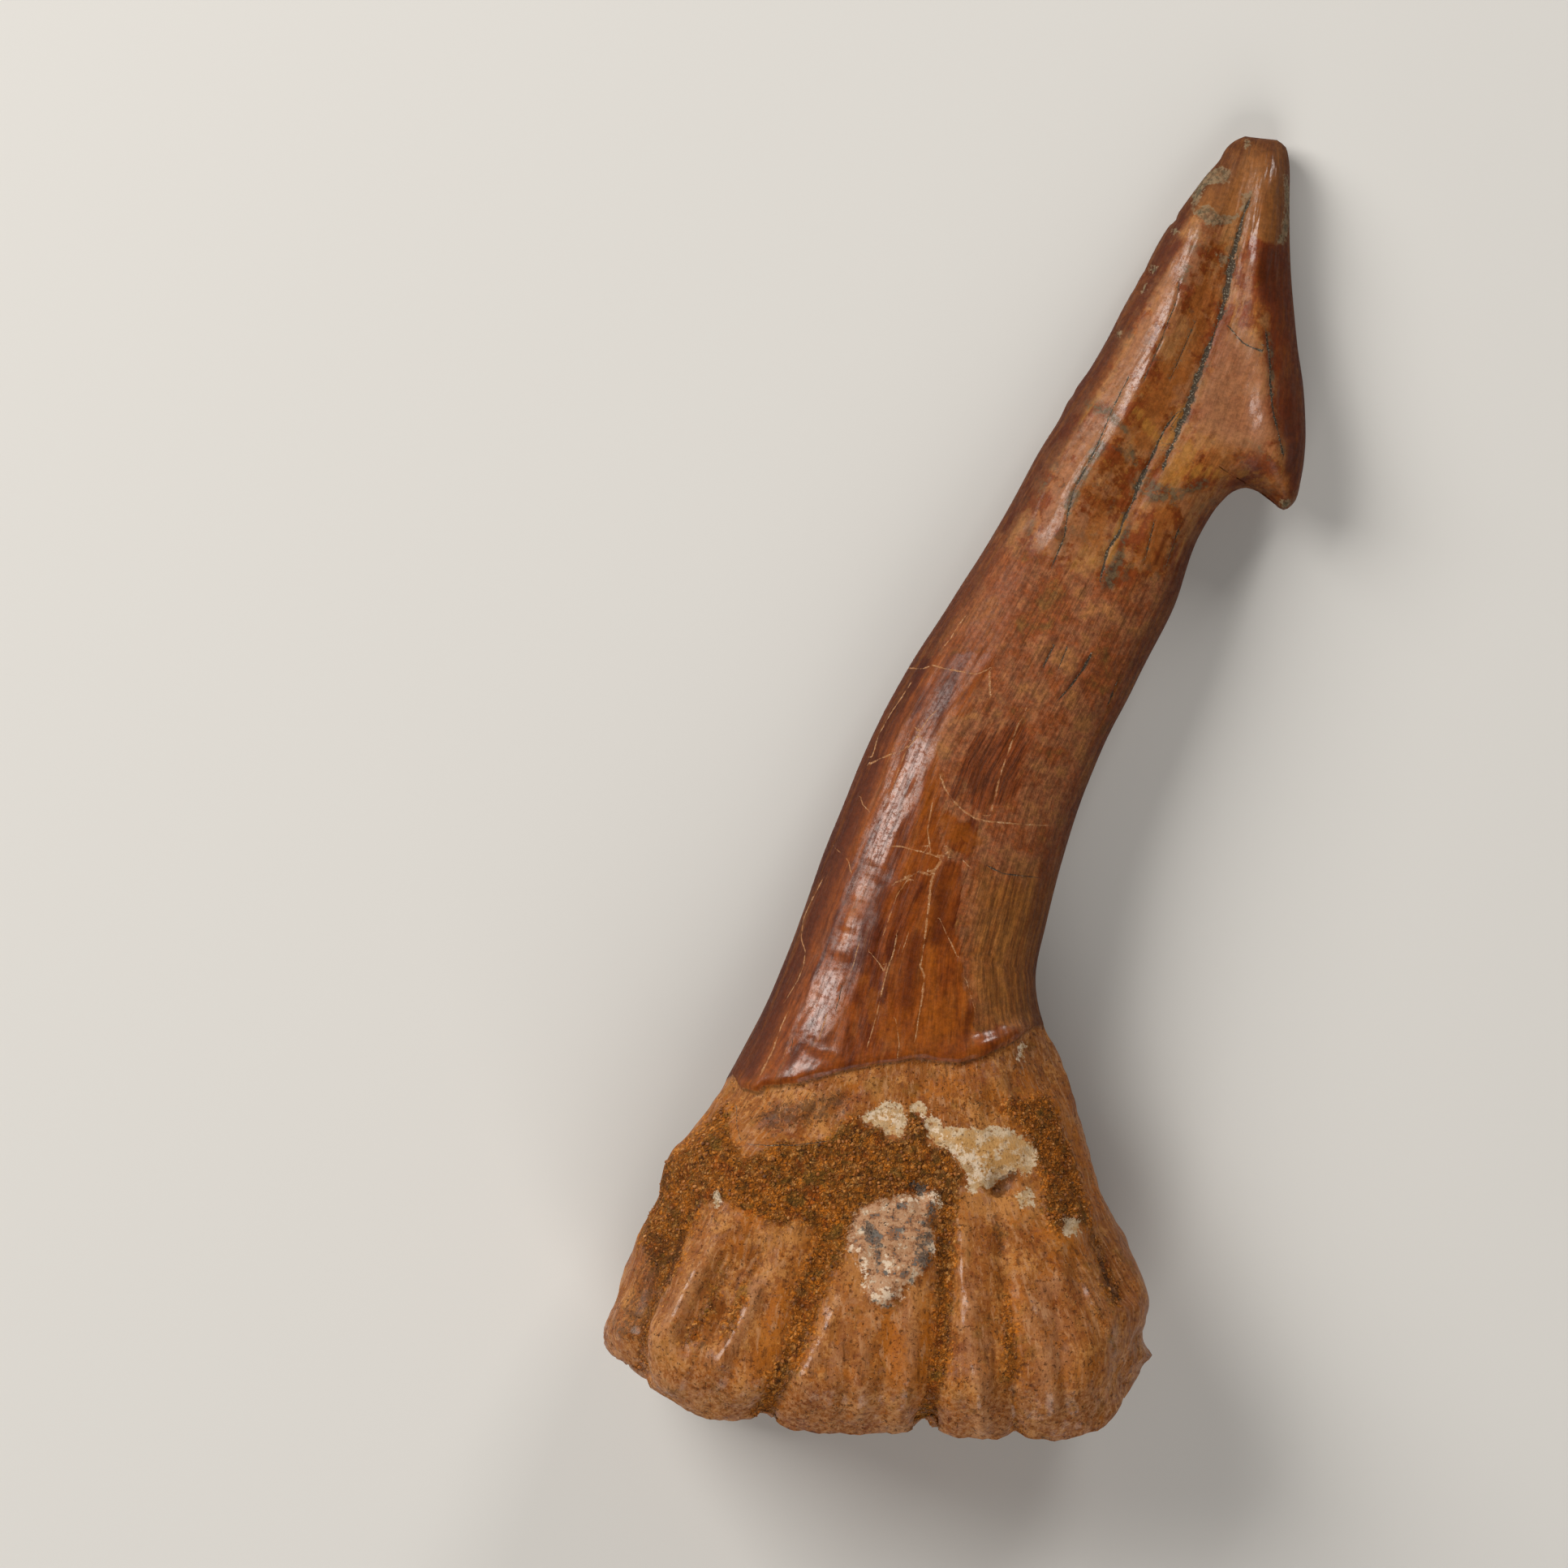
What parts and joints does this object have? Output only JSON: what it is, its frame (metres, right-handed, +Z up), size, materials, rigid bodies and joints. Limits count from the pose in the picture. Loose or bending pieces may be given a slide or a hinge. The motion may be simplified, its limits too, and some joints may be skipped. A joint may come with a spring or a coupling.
{
  "type": "sawfish_rostral_tooth_fossil",
  "caption": "Fossil sawfish rostral tooth: a fluted, matrix-crusted root that tapers to a curved, glossy enamel crown with a hooked barb behind the tip, lying on its flatter side.",
  "frame": {"origin": "centre of the outline as seen from above, on the surface that the tooth lies on", "axes": "+X across the tooth towards the barb, +Y from the root to the tip, +Z up from the surface"},
  "size_m": [0.0394, 0.073, 0.0151],
  "materials": {
    "tooth": "glossy enamel crown, matt dentine and sandy crust on the root"
  },
  "bodies": {
    "root": {"rostral_tooth": "tooth"}
  },
  "joints": []
}
